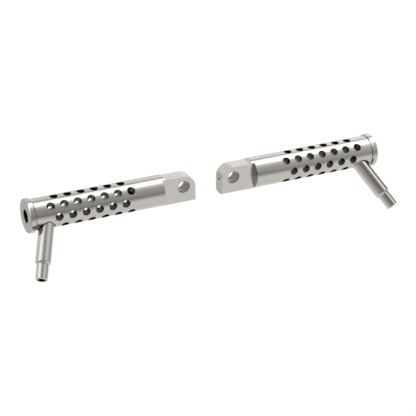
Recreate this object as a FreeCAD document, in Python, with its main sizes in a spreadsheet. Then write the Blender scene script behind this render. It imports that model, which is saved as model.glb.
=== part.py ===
import FreeCAD, Part
import math
import os
import Sketcher

# A pair of motorcycle footpegs as they sit on a motorcycle, left and right on one line across it.
# Each peg is a drilled bar with a flat tongue, a flanged cap pressed into its outer end and a feeler pin
# screwed into its underside. Lengths are in millimetres and angles in degrees.
# A peg is drawn about its bar's axis, below its pivot: X runs along the bar from the cap to the tongue, Y is
# along the pivot and Z is up. The right peg is the left one turned half round, its feeler on the other flank.

SIZES = {
    # Bar
    "barrel_diameter": 25,
    "barrel_length": 106.5,
    "bore_diameter": 10.6,
    "bore_past_holes": 5,
    "drill_point_angle": 118,
    "seam_chamfer": 0.4,
    "edge_break": 0.3,
    # Drilled rows
    "hole_diameter": 6.5,
    "column_pitch": 11,
    "first_column": 13,
    "long_row_holes": 7,
    "rows_of_a_kind": 4,
    # Tongue
    "shoulder_angle": 20,
    "shoulder_to_pivot": 18.6,
    "pivot_to_end": 10.1,
    "tongue_thickness": 11.5,
    "tongue_top": 10.5,
    "tongue_corner_radius": 10,
    "flat_to_pivot": 14.2,
    "run_out_radius": 2.5,
    "pivot_diameter": 10,
    "pivot_lift": 1.8,
    "centre_drill_diameter": 2,
    "centre_drill_depth": 2,
    # End cap
    "flange_diameter": 27.4,
    "flange_thickness": 4.6,
    "flange_chamfer": 0.6,
    "spigot_diameter": 13,
    "spigot_length": 2.6,
    "spigot_end_gap": 0.2,
    "fit_clearance": 0.05,
    # Feeler pin, measured along its own axis from the bar's axis
    "feeler_past_column": 0.4,
    "feeler_diameter": 12,
    "feeler_tilt": 21,
    "feeler_seat": 10.5,
    "feeler_reach": 55.8,
    "socket_gap": 1.2,
    "screw_diameter": 8,
    "screw_length": 4.5,
    "neck_diameter": 9.5,
    "neck_length": 13.75,
    "shoulder_taper": 1.6,
    "shoulder_round": 0.8,
    "tip_hole_diameter": 6,
    "tip_hole_depth": 9,
    # Pair
    "pair_gap": 23.4,
}

RADIUS = "Size.barrel_diameter / 2"
BORE_RADIUS = "Size.bore_diameter / 2"
SHOULDER = "-Size.shoulder_to_pivot"
BAR_END = "(-Size.shoulder_to_pivot - Size.barrel_length)"
FIRST_COLUMN = f"({BAR_END} + Size.first_column)"
BORE_END = f"({FIRST_COLUMN} + (Size.long_row_holes - 1) * Size.column_pitch + Size.bore_past_holes)"
DRILL_POINT = "tan(90 - Size.drill_point_angle / 2)"

# Points closer than this are the same point.
TOUCH = 1e-6

# Angles round the bar turn about X from +Y (the rear) over +Z (the top).
FEELER_ANGLE = {"left": 225, "right": 315}

doc = FreeCAD.newDocument("footpegs")
sheet = doc.addObject("Spreadsheet::Sheet", "Size")
for row, (alias, value) in enumerate(SIZES.items(), 1):
    sheet.set(f"A{row}", alias)
    sheet.set(f"B{row}", str(value))
    sheet.setAlias(f"B{row}", alias)
doc.recompute()


def origin_feature(body, role):
    return next(item for item in body.Origin.OriginFeatures if item.Role == role)


def new_body(label):
    body = doc.addObject("PartDesign::Body", label)
    body.Label = label
    return body


def new_sketch(body, name, role, offset=None):
    sketch = body.newObject("Sketcher::SketchObject", name)
    sketch.AttachmentSupport = [(origin_feature(body, role), "")]
    sketch.MapMode = "FlatFace"
    if offset:
        sketch.AttachmentOffset = offset
    return sketch


def drive(sketch, constraint, expression):
    """Adds a constraint whose size is the expression's."""
    index = sketch.addConstraint(constraint)
    sketch.setExpression(f"Constraints[{index}]", expression)


def place_point(sketch, geometry, point, x, y):
    """Fixes a point of a sketch at two expressions from the sketch's origin; a zero lies on the axis."""
    for kind, expression, axis in (("DistanceX", x, -2), ("DistanceY", y, -1)):
        if expression == "0":
            sketch.addConstraint(Sketcher.Constraint("PointOnObject", geometry, point, axis))
        else:
            value = sketch.evalExpression(expression)
            drive(sketch, Sketcher.Constraint(kind, -1, 1, geometry, point, value), expression)


def draw_outline(sketch, points):
    """Draws a closed outline of straight lines through points given as pairs of expressions."""
    corners = [FreeCAD.Vector(sketch.evalExpression(x), sketch.evalExpression(y), 0) for x, y in points]
    count = len(corners)
    for i in range(count):
        sketch.addGeometry(Part.LineSegment(corners[i], corners[(i + 1) % count]))
    for i in range(count):
        sketch.addConstraint(Sketcher.Constraint("Coincident", i, 2, (i + 1) % count, 1))
    for i, (x, y) in enumerate(points):
        place_point(sketch, i, 1, x, y)


def draw_circle(sketch, x, y, diameter):
    centre = FreeCAD.Vector(sketch.evalExpression(x), sketch.evalExpression(y), 0)
    size = sketch.evalExpression(diameter)
    circle = sketch.addGeometry(Part.Circle(centre, FreeCAD.Vector(0, 0, 1), size / 2))
    drive(sketch, Sketcher.Constraint("Diameter", circle, size), diameter)
    place_point(sketch, circle, 3, x, y)


def revolve(body, kind, name, sketch, axis):
    """Turns a sketch a full turn about one of its own axes, as a Revolution or a Groove."""
    feature = body.newObject(f"PartDesign::{kind}", name)
    feature.Profile = sketch
    feature.ReferenceAxis = (sketch, [axis])
    feature.Angle = 360
    doc.recompute()


def drill_out(body, name, sketch, length, **settings):
    """Cuts a sketch into the body along its normal, as far as the length."""
    pocket = body.newObject("PartDesign::Pocket", name)
    pocket.Profile = sketch
    pocket.Type = "Length"
    pocket.setExpression("Length", length)
    for setting, value in settings.items():
        setattr(pocket, setting, value)
    doc.recompute()
    return pocket


def repeat_round_bar(body, name, pocket, count, turn):
    """Repeats a cut about the bar's axis."""
    pattern = body.newObject("PartDesign::PolarPattern", name)
    pattern.Originals = [pocket]
    pattern.Axis = (origin_feature(body, "X_Axis"), [""])
    pattern.Angle = turn
    pattern.Occurrences = count
    body.Tip = pattern
    doc.recompute()


def round_rings(body, name, rings, radius):
    """Rounds the circular edges of the last feature that lie on the given centres and diameters."""
    base = body.Tip
    edges = []
    for number, edge in enumerate(base.Shape.Edges, 1):
        for centre, diameter in rings:
            if not isinstance(edge.Curve, Part.Circle):
                continue
            same_size = abs(2 * edge.Curve.Radius - body.evalExpression(diameter)) < TOUCH
            if same_size and edge.Curve.Center.distanceToPoint(centre) < TOUCH:
                edges.append(f"Edge{number}")
    fillet = body.newObject("PartDesign::Fillet", name)
    fillet.Base = (base, edges)
    fillet.setExpression("Radius", radius)
    doc.recompute()


def row_plane(angle):
    """A sketch plane through the bar's axis whose normal points out along a row of holes."""
    return FreeCAD.Placement(FreeCAD.Vector(), FreeCAD.Rotation(FreeCAD.Vector(1, 0, 0), angle - 90))


def feeler_plane(side):
    """The sketch plane of the bar's axis and the feeler's: its Y axis is the feeler's own axis."""
    turn = FreeCAD.Rotation(FreeCAD.Vector(1, 0, 0), FEELER_ANGLE[side])
    lean = FreeCAD.Rotation(FreeCAD.Vector(0, 0, 1), sheet.feeler_tilt)
    crossing = sheet.evalExpression(f"{FIRST_COLUMN} + Size.feeler_past_column")
    return FreeCAD.Placement(FreeCAD.Vector(crossing, 0, 0), turn.multiply(lean))


def drill_rows(body, name, columns, angle, count, turn):
    """Drills one hole in each given column of a row, and repeats the row round the bar."""
    sketch = new_sketch(body, f"{name}_holes", "XY_Plane", row_plane(angle))
    for column in columns:
        draw_circle(sketch, f"{FIRST_COLUMN} + {column} * Size.column_pitch", "0", "Size.hole_diameter")
    pocket = drill_out(body, f"{name}_drilling", sketch, "Size.barrel_diameter", Reversed=True)
    repeat_round_bar(body, f"{name}_rows", pocket, count, turn)


def make_peg_body(side):
    """The bar: turned, bored from its outer end, drilled through its wall and milled to a tongue."""
    body = new_body(f"peg_body_{side}")
    spigot_seat = "(Size.spigot_diameter / 2 + Size.fit_clearance)"
    spigot_floor = f"({BAR_END} + Size.spigot_length + Size.spigot_end_gap)"
    turned = new_sketch(body, "turned_section", "XZ_Plane")
    draw_outline(turned, [
        (BAR_END, spigot_seat),
        (BAR_END, f"{RADIUS} - Size.seam_chamfer"),
        (f"{BAR_END} + Size.seam_chamfer", RADIUS),
        (SHOULDER, RADIUS),
        (f"{SHOULDER} + {RADIUS} * tan(Size.shoulder_angle)", "0"),
        (f"{BORE_END} + {BORE_RADIUS} * {DRILL_POINT}", "0"),
        (BORE_END, BORE_RADIUS),
        (spigot_floor, BORE_RADIUS),
        (spigot_floor, spigot_seat),
    ])
    revolve(body, "Revolution", "turned_bar", turned, "H_Axis")
    add_tongue(body)
    feeler = FEELER_ANGLE[side]
    holes = int(sheet.long_row_holes)
    rows = int(sheet.rows_of_a_kind)
    step = 360 / rows
    short_row = [column + 0.5 for column in range(holes - 1)]
    drill_rows(body, "short", short_row, feeler + step / 2, rows, 360)
    drill_rows(body, "long", range(1, holes), feeler, rows, 360)
    # The feeler takes the place of one hole in the long rows' first column.
    drill_rows(body, "first", [0], feeler + step, rows - 1, (rows - 2) * step)
    cut_feeler_socket(body, side)
    return body


def add_tongue(body):
    """The tongue: the bar's round section between two flats, milled flat above and square below its end."""
    half = "Size.tongue_thickness / 2"
    height = f"sqrt(({RADIUS}) ^ 2 - ({half}) ^ 2)"
    section = new_sketch(body, "tongue_section", "YZ_Plane")
    section.setExpression("AttachmentOffset.Base.z", SHOULDER)
    y = section.evalExpression(half)
    z = section.evalExpression(height)
    r = section.evalExpression(RADIUS)
    section.addGeometry([
        Part.Arc(FreeCAD.Vector(y, z, 0), FreeCAD.Vector(0, r, 0), FreeCAD.Vector(-y, z, 0)),
        Part.LineSegment(FreeCAD.Vector(-y, z, 0), FreeCAD.Vector(-y, -z, 0)),
        Part.Arc(FreeCAD.Vector(-y, -z, 0), FreeCAD.Vector(0, -r, 0), FreeCAD.Vector(y, -z, 0)),
        Part.LineSegment(FreeCAD.Vector(y, -z, 0), FreeCAD.Vector(y, z, 0)),
    ])
    section.addConstraint([
        Sketcher.Constraint("Coincident", 0, 3, -1, 1),
        Sketcher.Constraint("Coincident", 2, 3, -1, 1),
        Sketcher.Constraint("Coincident", 0, 2, 1, 1),
        Sketcher.Constraint("Coincident", 1, 2, 2, 1),
        Sketcher.Constraint("Coincident", 2, 2, 3, 1),
        Sketcher.Constraint("Coincident", 3, 2, 0, 1),
        Sketcher.Constraint("Vertical", 1),
        Sketcher.Constraint("Vertical", 3),
        Sketcher.Constraint("Equal", 0, 2),
    ])
    drive(section, Sketcher.Constraint("Radius", 0, r), RADIUS)
    drive(section, Sketcher.Constraint("DistanceX", -1, 1, 1, 1, -y), f"-{half}")
    drive(section, Sketcher.Constraint("DistanceX", -1, 1, 3, 1, y), half)
    tongue = body.newObject("PartDesign::Pad", "tongue")
    tongue.Profile = section
    tongue.setExpression("Length", "Size.shoulder_to_pivot + Size.pivot_to_end")
    doc.recompute()
    mill_tongue_top(body)
    pivot = new_sketch(body, "pivot_circle", "XZ_Plane")
    draw_circle(pivot, "0", "Size.pivot_lift", "Size.pivot_diameter")
    drill_out(body, "pivot_bore", pivot, "2 * Size.tongue_thickness", SideType="Symmetric")
    centre = new_sketch(body, "centre_section", "XZ_Plane")
    draw_outline(centre, [
        ("Size.pivot_to_end - Size.centre_drill_depth", "0"),
        ("Size.pivot_to_end", "0"),
        ("Size.pivot_to_end", "Size.centre_drill_diameter / 2"),
    ])
    revolve(body, "Groove", "centre_hole", centre, "H_Axis")


def mill_tongue_top(body):
    """Mills the tongue flat above, from a run-out by the shoulder to a corner that clears the mounting."""
    profile = new_sketch(body, "milled_profile", "XZ_Plane")
    outside = "Size.barrel_diameter"
    run_out_x = "(-Size.flat_to_pivot - Size.run_out_radius)"
    corner_z = "(Size.tongue_top - Size.tongue_corner_radius)"
    points = [
        (run_out_x, outside),
        (run_out_x, "Size.tongue_top + Size.run_out_radius"),
        ("-Size.flat_to_pivot", "Size.tongue_top"),
        ("Size.pivot_to_end - Size.tongue_corner_radius", "Size.tongue_top"),
        ("Size.pivot_to_end", corner_z),
        (outside, corner_z),
        (outside, outside),
    ]
    at = [FreeCAD.Vector(profile.evalExpression(x), profile.evalExpression(z), 0) for x, z in points]
    up = FreeCAD.Vector(0, 0, 1)
    run_out = Part.Circle(FreeCAD.Vector(at[2].x, at[1].y, 0), up, sheet.run_out_radius)
    corner = Part.Circle(FreeCAD.Vector(at[3].x, at[4].y, 0), up, sheet.tongue_corner_radius)
    profile.addGeometry([
        Part.LineSegment(at[0], at[1]),
        Part.ArcOfCircle(run_out, math.pi, 1.5 * math.pi),
        Part.LineSegment(at[2], at[3]),
        Part.ArcOfCircle(corner, 0, math.pi / 2),
        Part.LineSegment(at[4], at[5]),
        Part.LineSegment(at[5], at[6]),
        Part.LineSegment(at[6], at[0]),
    ])
    # The corner's arc is drawn from below, against the way round of the other sides.
    starts = [1, 1, 1, 2, 1, 1, 1]
    for side, start in enumerate(starts):
        after = (side + 1) % len(starts)
        profile.addConstraint(Sketcher.Constraint("Coincident", side, 3 - start, after, starts[after]))
        place_point(profile, side, start, *points[side])
    for side, radius in ((1, "Size.run_out_radius"), (3, "Size.tongue_corner_radius")):
        drive(profile, Sketcher.Constraint("Radius", side, profile.evalExpression(radius)), radius)
    drill_out(body, "milled_top", profile, "2 * Size.tongue_thickness", SideType="Symmetric")


def cut_feeler_socket(body, side):
    """The feeler's socket: a clearance round the pin down to its seat, and the screw's hole below."""
    socket = new_sketch(body, "socket_section", "XY_Plane", feeler_plane(side))
    screw = "(Size.screw_diameter / 2 + Size.fit_clearance)"
    clearance = "(Size.feeler_diameter / 2 + Size.socket_gap)"
    draw_outline(socket, [
        ("0", "0"),
        (screw, "0"),
        (screw, "Size.feeler_seat"),
        (clearance, "Size.feeler_seat"),
        (clearance, "Size.barrel_diameter"),
        ("0", "Size.barrel_diameter"),
    ])
    revolve(body, "Groove", "feeler_socket", socket, "V_Axis")


def make_end_cap(side):
    """The cap: a flange on the bar's end and a spigot inside it, bored in line with the bar."""
    body = new_body(f"end_cap_{side}")
    face = f"({BAR_END} - Size.flange_thickness)"
    flange = "Size.flange_diameter / 2"
    spigot = "Size.spigot_diameter / 2"
    section = new_sketch(body, "cap_section", "XZ_Plane")
    draw_outline(section, [
        (face, f"{BORE_RADIUS} + Size.edge_break"),
        (face, f"{flange} - Size.flange_chamfer"),
        (f"{face} + Size.flange_chamfer", flange),
        (f"{BAR_END} - Size.flange_chamfer", flange),
        (BAR_END, f"{flange} - Size.flange_chamfer"),
        (BAR_END, spigot),
        (f"{BAR_END} + Size.spigot_length", spigot),
        (f"{BAR_END} + Size.spigot_length", BORE_RADIUS),
        (f"{face} + Size.edge_break", BORE_RADIUS),
    ])
    revolve(body, "Revolution", "turned_cap", section, "H_Axis")
    return body


def make_feeler_pin(side):
    """The feeler: a screw end, a plain pin seated in the socket and a stepped tip drilled at its end."""
    body = new_body(f"feeler_pin_{side}")
    plane = feeler_plane(side)
    screw = "Size.screw_diameter / 2"
    screw_end = "(Size.feeler_seat - Size.screw_length)"
    pin = "Size.feeler_diameter / 2"
    neck = "Size.neck_diameter / 2"
    shoulder = "(Size.feeler_reach - Size.neck_length)"
    neck_start = f"({shoulder} + Size.shoulder_taper)"
    hole = "Size.tip_hole_diameter / 2"
    hole_floor = "(Size.feeler_reach - Size.tip_hole_depth)"
    section = new_sketch(body, "pin_section", "XY_Plane", plane)
    draw_outline(section, [
        ("0", screw_end),
        (f"{screw} - Size.edge_break", screw_end),
        (screw, f"{screw_end} + Size.edge_break"),
        (screw, "Size.feeler_seat"),
        (pin, "Size.feeler_seat"),
        (pin, shoulder),
        (neck, neck_start),
        (neck, "Size.feeler_reach - Size.edge_break"),
        (f"{neck} - Size.edge_break", "Size.feeler_reach"),
        (hole, "Size.feeler_reach"),
        (hole, hole_floor),
        ("0", f"{hole_floor} - {hole} * {DRILL_POINT}"),
    ])
    revolve(body, "Revolution", "turned_pin", section, "V_Axis")
    rings = []
    for distance, diameter in ((shoulder, "Size.feeler_diameter"), (neck_start, "Size.neck_diameter")):
        along = FreeCAD.Vector(0, body.evalExpression(distance), 0)
        rings.append((plane.multVec(along), diameter))
    round_rings(body, "rounded_shoulder", rings, "Size.shoulder_round")
    return body


def place_peg(side, pieces):
    """Puts a peg's pivot on the common line: the right peg faces the left one across the gap."""
    for body in pieces:
        body.setExpression("Placement.Base.z", "-Size.pivot_lift")
        if side == "right":
            body.setExpression("Placement.Base.x", "Size.pair_gap + 2 * Size.pivot_to_end")
            body.Placement.Rotation = FreeCAD.Rotation(FreeCAD.Vector(0, 0, 1), 180)


bodies = []
for side in ("left", "right"):
    pieces = [make_peg_body(side), make_end_cap(side), make_feeler_pin(side)]
    place_peg(side, pieces)
    bodies.extend(pieces)
doc.recompute()

for item in doc.Objects:
    if "Invalid" in item.State or "Error" in item.State:
        raise RuntimeError(f"{item.Name} did not rebuild: {item.State}")
for body in bodies:
    if body.Shape.isNull() or not body.Shape.isValid() or len(body.Shape.Solids) != 1:
        raise RuntimeError(f"{body.Label} is not one sound solid")

os.makedirs("parts", exist_ok=True)
for body in bodies:
    body.Shape.exportStep(f"parts/{body.Label}.step")
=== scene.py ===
import math

import bpy
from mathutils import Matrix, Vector


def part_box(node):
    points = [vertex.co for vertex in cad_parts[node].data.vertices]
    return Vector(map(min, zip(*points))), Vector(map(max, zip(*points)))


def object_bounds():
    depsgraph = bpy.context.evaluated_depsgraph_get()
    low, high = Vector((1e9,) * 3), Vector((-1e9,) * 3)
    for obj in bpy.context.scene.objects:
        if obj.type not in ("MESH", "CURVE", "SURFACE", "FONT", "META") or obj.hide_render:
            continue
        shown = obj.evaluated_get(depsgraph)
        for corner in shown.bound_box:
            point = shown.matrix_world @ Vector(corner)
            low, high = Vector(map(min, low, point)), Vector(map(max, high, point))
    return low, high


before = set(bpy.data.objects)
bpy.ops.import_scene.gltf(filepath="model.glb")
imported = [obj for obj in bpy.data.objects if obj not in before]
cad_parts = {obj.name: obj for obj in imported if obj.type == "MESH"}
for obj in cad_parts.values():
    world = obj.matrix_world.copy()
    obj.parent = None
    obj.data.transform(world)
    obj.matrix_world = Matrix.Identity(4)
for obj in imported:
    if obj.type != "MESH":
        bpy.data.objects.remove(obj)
cad_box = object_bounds()

MM = 0.001

# Places taken from the frame: the plane between the two pegs, the bars' radius and axis, and how far the
# caps' outer faces and the tongues' ends are from that plane.
low, high = cad_box
bar_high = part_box("peg_body_left")[1]
MID_X = (low[0] + high[0]) / 2
BAR_RADIUS = bar_high[1]
AXIS_Z = bar_high[2] - BAR_RADIUS
CAP_FACE = MID_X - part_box("end_cap_left")[0][0]
TONGUE_END = MID_X - bar_high[0]

# Sizes of the pieces that their finishes follow. Lengths along a peg start at the plane between the pegs.
HOLE_EDGE = 0.15 * MM
BORE_RADIUS = 5.3 * MM
SHOULDER_REACH = 40.4 * MM
TONGUE_HALF = 5.75 * MM
PIVOT_PLACE = (MID_X, 0, -AXIS_Z)
PIVOT_RADIUS = 5 * MM
CENTRE_RADIUS = 1.3 * MM
CENTRE_DEPTH = 3 * MM
FEELER_CROSSING = (133.5 * MM, 0, 0)
FEELER_TILT = math.radians(21)
SOCKET_RADIUS = 7.2 * MM
TIP_HOLE_RADIUS = 3 * MM

# Axes of the pieces in the coordinates that peg_place gives both pegs: outward, off the axis and up.
# A feeler points off the axis and down in equal parts.
BAR_AXIS = (1, 0, 0)
PIVOT_AXIS = (0, 1, 0)
FEELER_FLANK = math.cos(FEELER_TILT) * math.sqrt(0.5)
FEELER_AXIS = (math.sin(FEELER_TILT), FEELER_FLANK, -FEELER_FLANK)

# Colours of the polished steel from ring to ring, of the cutter's skin darkened as painted shade, and of the
# floor.
STEEL_DARK = "b3b0ac"
STEEL_LIGHT = "c3c0bc"
# The dark grey below is painted shade for the holes, the feeler's socket gap and the cut faces.
CUT_STEEL_PAINTED_SHADE = "45423d"
# The floor's grey is painted shade outside its painted pool of light.
FLOOR_WHITE = "f7f7f7"
FLOOR_PAINTED_SHADE = "c2c2c2"

# Roughness of the polished surfaces, how far haze lowers and raises it, and that of the cutter's skin.
BAR_ROUGHNESS = 0.1
PIN_ROUGHNESS = 0.07
HAZE_LEAST = 0.8
HAZE_MOST = 1.2
CUT_ROUGHNESS = 0.3

# Scales of the steel's patterns, the depth of the drills' ridges and the turning rings' share of it.
HAZE_SIZE = 4 * MM
RING_PITCH = 0.9 * MM
RIDGE_PITCH = 1 * MM
RIDGE_DEPTH = 0.2 * MM
RING_SHARE = 0.01

# How much of the dull cutter's skin and its painted shade each surface shows, from 0 for polished to 1 for
# deep and dark.
DRILLED_ROWS = 0.77
FEELER_SOCKET = 1
TONGUE_SHOULDER = 0.42
PIVOT_BORE = 0.7
TONGUE_FACE = 0.35
CENTRE_DRILLING = 1
CAP_BORE = 0.8
FLANGE_FACE = 0.57
TIP_HOLE = 1

# The floor, in metres, and the painted pool of light on it, which is longer than it is wide.
FLOOR_DROP = 250 * MM
FLOOR_SIZE = 12
POOL_PLACE = (0.3, 0.5, 0)
POOL_NARROWING = (1.6, 1, 1)
POOL_RADIUS = 1.15
POOL_EDGE = 2.05

# The studio's brightness by direction, as the product of three ramps: from the grey front over the white
# ceiling to the pale back, from left to right, and up from the horizon. A stop is a place from -1 to 1 and
# the brightness there.
STUDIO_DEPTH = [
    (-1.0, 0.25),
    (-0.7, 0.28),
    (-0.38, 0.46),
    (0.0, 1.4),
    (0.27, 1.4),
    (0.42, 0.42),
    (0.6, 0.38),
    (0.7, 0.6),
]
STUDIO_WIDTH = [
    (-1.0, 1.6),
    (-0.8, 1.9),
    (-0.6, 1.1),
    (-0.3, 1.1),
    (0.0, 0.8),
    (0.38, 2.1),
    (0.55, 2.6),
    (0.75, 2.1),
    (1.0, 0.6),
]
STUDIO_HEIGHT = [
    (0.0, 0.7),
    (0.4, 1.0),
]
# The power that takes blue from the ramps, so that the studio is the warmer the darker it is.
STUDIO_WARMTH = 1.02
# A black flag on the right draws a dark line beside the right feeler's bright edge.
FLAG_PLACE = (0.88, 0.12, 0.46)
FLAG_EDGE = 0.93
FLAG_CORE = 0.97
FLAG_SHADE = 0.15
# A broad pale screen at the back, left of what the bars mirror, lights the floor and the tongues' corners.
# It fades in towards the back and to the left.
SCREEN_DEPTH = (0.38, 0.5)
SCREEN_WIDTH = (0.28, 0.12)
SCREEN_LIGHT = 0.42

# Camera of the photograph: its place, its two angles, and its lens and film width in millimetres.
CAMERA_PLACE = Vector((-451.98, -1019.68, 512.15)) * MM
CAMERA_YAW = math.radians(25.012)
CAMERA_PITCH = math.radians(25.552)
CAMERA_LENS = 133.77
FILM_WIDTH = 36

# Sockets of a mix node, which holds one set for numbers and one for colours, and a math node's two tests.
NUMBER_A, NUMBER_B = 2, 3
COLOUR_A, COLOUR_B, COLOUR_RESULT = 6, 7, 2
BELOW, ABOVE = "LESS_THAN", "GREATER_THAN"


def linear(code):
    """An sRGB hex colour as linear red, green, blue and alpha, by the sRGB standard's own numbers."""
    parts = [int(code[start:start + 2], 16) / 255 for start in (0, 2, 4)]
    return [part / 12.92 if part <= 0.04045 else ((part + 0.055) / 1.055) ** 2.4 for part in parts] + [1]


def add_node(tree, kind, links=None, values=None, **settings):
    """Adds a node with its settings, its input values and the sockets that feed it."""
    node = tree.nodes.new(kind)
    for name, setting in settings.items():
        setattr(node, name, setting)
    for name, value in (values or {}).items():
        node.inputs[name].default_value = value
    for name, socket in (links or {}).items():
        tree.links.new(socket, node.inputs[name])
    return node


def new_material(name):
    """An empty material, its node tree and its shader."""
    material = bpy.data.materials.new(name)
    material.use_nodes = True
    tree = material.node_tree
    return material, tree, tree.nodes["Principled BSDF"]


def peg_place(tree):
    """A point of either peg as one of the same peg: outward from the pair's middle, off the axis, and up."""
    here = add_node(tree, "ShaderNodeTexCoord").outputs["Object"]
    moved = add_node(tree, "ShaderNodeVectorMath", {0: here}, {1: (MID_X, 0, AXIS_Z)}, operation="SUBTRACT")
    parts = add_node(tree, "ShaderNodeSeparateXYZ", {0: moved.outputs[0]}).outputs
    out = add_node(tree, "ShaderNodeMath", {0: parts["X"]}, operation="ABSOLUTE").outputs[0]
    off = add_node(tree, "ShaderNodeMath", {0: parts["Y"]}, operation="ABSOLUTE").outputs[0]
    return add_node(tree, "ShaderNodeCombineXYZ", {"X": out, "Y": off, "Z": parts["Z"]}).outputs[0]


def line_distance(tree, place, start, axis):
    """How far a point is from the line through a start along an axis of length one."""
    arm = add_node(tree, "ShaderNodeVectorMath", {0: place}, {1: start}, operation="SUBTRACT")
    cross = add_node(tree, "ShaderNodeVectorMath", {0: arm.outputs[0]}, {1: axis}, operation="CROSS_PRODUCT")
    return add_node(tree, "ShaderNodeVectorMath", {0: cross.outputs[0]}, operation="LENGTH").outputs["Value"]


def where(tree, weight, *tests):
    """A weight where all tests hold. A test is a socket, its side of a limit, and the limit."""
    share = None
    for socket, side, limit in tests:
        test = add_node(tree, "ShaderNodeMath", {0: socket}, {1: limit}, operation=side).outputs[0]
        links, values = ({0: test, 1: share}, {}) if share else ({0: test}, {1: weight})
        share = add_node(tree, "ShaderNodeMath", links, values, operation="MULTIPLY").outputs[0]
    return share


def bar_cuts_and_shade(tree, place):
    """Weights of dull cutter's skin and painted shade on the bar's surfaces below its turned skin: drilled
    rows, socket, shoulder, pivot bore and faced end.
    """
    out, off, _ = add_node(tree, "ShaderNodeSeparateXYZ", {0: place}).outputs
    radius = line_distance(tree, place, (0, 0, 0), BAR_AXIS)
    feeler = line_distance(tree, place, FEELER_CROSSING, FEELER_AXIS)
    pivot = line_distance(tree, place, PIVOT_PLACE, PIVOT_AXIS)
    inside = (radius, BELOW, BAR_RADIUS - HOLE_EDGE)
    return [
        where(tree, DRILLED_ROWS, inside, (out, ABOVE, SHOULDER_REACH)),
        where(tree, FEELER_SOCKET, inside, (feeler, BELOW, SOCKET_RADIUS + HOLE_EDGE)),
        where(tree, TONGUE_SHOULDER, inside, (off, ABOVE, TONGUE_HALF + HOLE_EDGE)),
        where(tree, PIVOT_BORE, (pivot, BELOW, PIVOT_RADIUS + HOLE_EDGE)),
        where(tree, TONGUE_FACE, (out, BELOW, TONGUE_END + HOLE_EDGE)),
        where(
            tree, CENTRE_DRILLING,
            (radius, BELOW, CENTRE_RADIUS), (out, BELOW, TONGUE_END + CENTRE_DEPTH)),
    ]


def cap_cuts_and_shade(tree, place):
    """Weights of dull cutter's skin and painted shade on the cap's bore and its faced end."""
    out = add_node(tree, "ShaderNodeSeparateXYZ", {0: place}).outputs["X"]
    radius = line_distance(tree, place, (0, 0, 0), BAR_AXIS)
    return [
        where(tree, CAP_BORE, (radius, BELOW, BORE_RADIUS + HOLE_EDGE)),
        where(tree, FLANGE_FACE, (out, ABOVE, CAP_FACE - HOLE_EDGE)),
    ]


def pin_cuts_and_shade(tree, place):
    """Weight of dull cutter's skin and painted shade in the feeler's drilled tip."""
    feeler = line_distance(tree, place, FEELER_CROSSING, FEELER_AXIS)
    return [where(tree, TIP_HOLE, (feeler, BELOW, TIP_HOLE_RADIUS + HOLE_EDGE))]


def turned_steel(name, polish, axis, cuts_and_shade_of):
    """Stainless steel, turned and polished: near mirror bands along a piece, faintly ringed and hazy.

    Drilled and milled surfaces keep their cutter's dull, rougher skin, and their colour is darkened towards
    a dark grey as painted shade, so that the holes, the socket gap and the cut faces read as dark.
    """
    material, tree, shader = new_material(name)
    place = peg_place(tree)
    # Cloudiness of hand polishing.
    haze = add_node(tree, "ShaderNodeTexNoise", {"Vector": place}, {"Scale": 1 / HAZE_SIZE, "Detail": 3})
    gloss = add_node(
        tree, "ShaderNodeMapRange", {"Value": haze.outputs[0]},
        {"To Min": polish * HAZE_LEAST, "To Max": polish * HAZE_MOST})
    # Rings of the turning tool, out from the shoulder. They are a tenth of a millimetre apart and drawn
    # coarser, to show at all.
    along = add_node(tree, "ShaderNodeVectorMath", {0: place}, {1: axis}, operation="DOT_PRODUCT")
    turned = add_node(
        tree, "ShaderNodeMath", {0: along.outputs["Value"]}, {1: SHOULDER_REACH}, operation="MAXIMUM")
    rings = add_node(
        tree, "ShaderNodeTexNoise", {"W": turned.outputs[0]}, {"Scale": 1 / RING_PITCH, "Detail": 2},
        noise_dimensions="1D").outputs[0]
    # Ridges of the drills, round each hole and down it, drawn coarser for the same reason.
    depth = line_distance(tree, place, (0, 0, 0), BAR_AXIS)
    ridges = add_node(
        tree, "ShaderNodeTexNoise", {"W": depth}, {"Scale": 1 / RIDGE_PITCH, "Detail": 1},
        noise_dimensions="1D").outputs[0]
    cut_and_shade, *others = cuts_and_shade_of(tree, place)
    for other in others:
        cut_and_shade = add_node(tree, "ShaderNodeMath", {0: cut_and_shade, 1: other}, operation="MAXIMUM").outputs[0]
    steel = add_node(
        tree, "ShaderNodeMix", {0: rings}, {COLOUR_A: linear(STEEL_DARK), COLOUR_B: linear(STEEL_LIGHT)},
        data_type="RGBA")
    # Painted shade: the cutter-skin weight darkens the steel's colour in the holes, the socket gap and the
    # cut faces.
    colour = add_node(
        tree, "ShaderNodeMix", {0: cut_and_shade, COLOUR_A: steel.outputs[COLOUR_RESULT]},
        {COLOUR_B: linear(CUT_STEEL_PAINTED_SHADE)}, data_type="RGBA")
    rough = add_node(
        tree, "ShaderNodeMix", {0: cut_and_shade, NUMBER_A: gloss.outputs[0]}, {NUMBER_B: CUT_ROUGHNESS},
        data_type="FLOAT")
    drilled = add_node(tree, "ShaderNodeMath", {0: ridges, 1: cut_and_shade}, operation="MULTIPLY")
    height = add_node(
        tree, "ShaderNodeMath", {0: rings, 2: drilled.outputs[0]}, {1: RING_SHARE}, operation="MULTIPLY_ADD")
    relief = add_node(
        tree, "ShaderNodeBump", {"Height": height.outputs[0]}, {"Strength": 1, "Distance": RIDGE_DEPTH})
    shader.inputs["Metallic"].default_value = 1
    tree.links.new(colour.outputs[COLOUR_RESULT], shader.inputs["Base Color"])
    tree.links.new(rough.outputs[0], shader.inputs["Roughness"])
    tree.links.new(relief.outputs[0], shader.inputs["Normal"])
    return material


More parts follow.
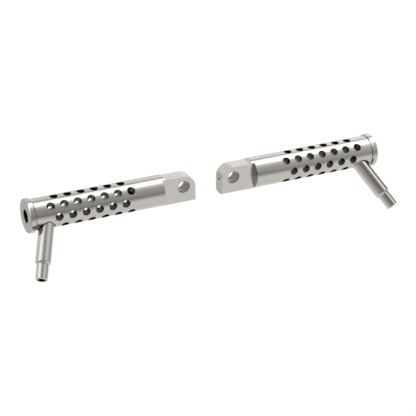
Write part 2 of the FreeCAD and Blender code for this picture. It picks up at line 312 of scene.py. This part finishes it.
def dress_pegs():
    """Gives each piece the finish of its kind."""
    finishes = {
        "peg_body": turned_steel("stainless_steel_turned_bar", BAR_ROUGHNESS, BAR_AXIS, bar_cuts_and_shade),
        "end_cap": turned_steel("stainless_steel_turned_cap", BAR_ROUGHNESS, BAR_AXIS, cap_cuts_and_shade),
        "feeler_pin": turned_steel("stainless_steel_polished_pin", PIN_ROUGHNESS, FEELER_AXIS, pin_cuts_and_shade),
    }
    for name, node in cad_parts.items():
        kind = name.rsplit("_", 1)[0]
        node.data.materials.clear()
        node.data.materials.append(finishes[kind])


def lay_floor():
    """A matt white studio floor, too far below to take a shadow, whose colour greys away from a painted pool
    of light.
    """
    bpy.ops.mesh.primitive_plane_add(size=FLOOR_SIZE, location=(MID_X, 0, low[2] - FLOOR_DROP))
    floor = bpy.context.object
    floor.name = "studio_floor"
    material, tree, shader = new_material("matt_white_floor")
    place = add_node(tree, "ShaderNodeTexCoord").outputs["Object"]
    offset = add_node(tree, "ShaderNodeVectorMath", {0: place}, {1: POOL_PLACE}, operation="SUBTRACT")
    narrow = add_node(
        tree, "ShaderNodeVectorMath", {0: offset.outputs[0]}, {1: POOL_NARROWING}, operation="MULTIPLY")
    away = add_node(tree, "ShaderNodeVectorMath", {0: narrow.outputs[0]}, operation="LENGTH")
    edge = add_node(
        tree, "ShaderNodeMapRange", {"Value": away.outputs["Value"]},
        {"From Min": POOL_RADIUS, "From Max": POOL_EDGE})
    # Painted pool of light: the floor's colour goes from white in the pool to grey outside it.
    shade = add_node(
        tree, "ShaderNodeMix", {0: edge.outputs[0]},
        {COLOUR_A: linear(FLOOR_WHITE), COLOUR_B: linear(FLOOR_PAINTED_SHADE)}, data_type="RGBA")
    tree.links.new(shade.outputs[COLOUR_RESULT], shader.inputs["Base Color"])
    shader.inputs["Roughness"].default_value = 1
    shader.inputs["Specular IOR Level"].default_value = 0
    floor.data.materials.append(material)


def add_ramp(tree, socket, stops):
    """Brightness along one direction, with the highest stop as white, and that stop's value."""
    peak = max(value for _, value in stops)
    along = add_node(tree, "ShaderNodeMapRange", {"Value": socket}, {"From Min": -1, "From Max": 1})
    ramp = add_node(tree, "ShaderNodeValToRGB", {0: along.outputs[0]})
    marks = ramp.color_ramp.elements
    while len(marks) < len(stops):
        marks.new(1)
    for mark, (place, value) in zip(marks, stops):
        share = value / peak
        mark.position = (place + 1) / 2
        mark.color = [share, share, share ** STUDIO_WARMTH, 1]
    return ramp.outputs["Color"], peak


def light_studio():
    """A soft white ceiling between a grey front and a pale back, with bright sides."""
    world = bpy.data.worlds.new("studio")
    bpy.context.scene.world = world
    world.use_nodes = True
    tree = world.node_tree
    direction = add_node(tree, "ShaderNodeTexCoord").outputs["Generated"]
    parts = add_node(tree, "ShaderNodeSeparateXYZ", {0: direction}).outputs
    flag = add_node(tree, "ShaderNodeVectorMath", {0: direction}, {1: FLAG_PLACE}, operation="DOT_PRODUCT")
    light = add_node(
        tree, "ShaderNodeMapRange", {"Value": flag.outputs["Value"]},
        {"From Min": FLAG_EDGE, "From Max": FLAG_CORE, "To Min": 1, "To Max": FLAG_SHADE}).outputs[0]
    strength = 1
    for name, stops in (("X", STUDIO_WIDTH), ("Y", STUDIO_DEPTH), ("Z", STUDIO_HEIGHT)):
        ramp, peak = add_ramp(tree, parts[name], stops)
        light = add_node(tree, "ShaderNodeVectorMath", {0: light, 1: ramp}, operation="MULTIPLY").outputs[0]
        strength *= peak
    behind = add_node(
        tree, "ShaderNodeMapRange", {"Value": parts["Y"]},
        {"From Min": SCREEN_DEPTH[0], "From Max": SCREEN_DEPTH[1], "To Max": SCREEN_LIGHT})
    screen = add_node(
        tree, "ShaderNodeMapRange", {"Value": parts["X"], "To Max": behind.outputs[0]},
        {"From Min": SCREEN_WIDTH[0], "From Max": SCREEN_WIDTH[1]})
    total = add_node(
        tree, "ShaderNodeVectorMath", {0: light, 2: screen.outputs[0]}, {1: [strength] * 3},
        operation="MULTIPLY_ADD")
    tree.links.new(total.outputs[0], tree.nodes["Background"].inputs["Color"])


def set_camera():
    """Stands the camera where the photograph was taken from."""
    data = bpy.data.cameras.new("photo_camera")
    data.sensor_width = FILM_WIDTH
    data.lens = CAMERA_LENS
    camera = bpy.data.objects.new("photo_camera", data)
    bpy.context.scene.collection.objects.link(camera)
    level = math.cos(CAMERA_PITCH)
    gaze = Vector((math.sin(CAMERA_YAW) * level, math.cos(CAMERA_YAW) * level, -math.sin(CAMERA_PITCH)))
    camera.location = CAMERA_PLACE
    camera.rotation_euler = gaze.to_track_quat("-Z", "Y").to_euler()
    bpy.context.scene.camera = camera


dress_pegs()
lay_floor()
light_studio()
set_camera()
bpy.context.scene.view_settings.view_transform = "Standard"
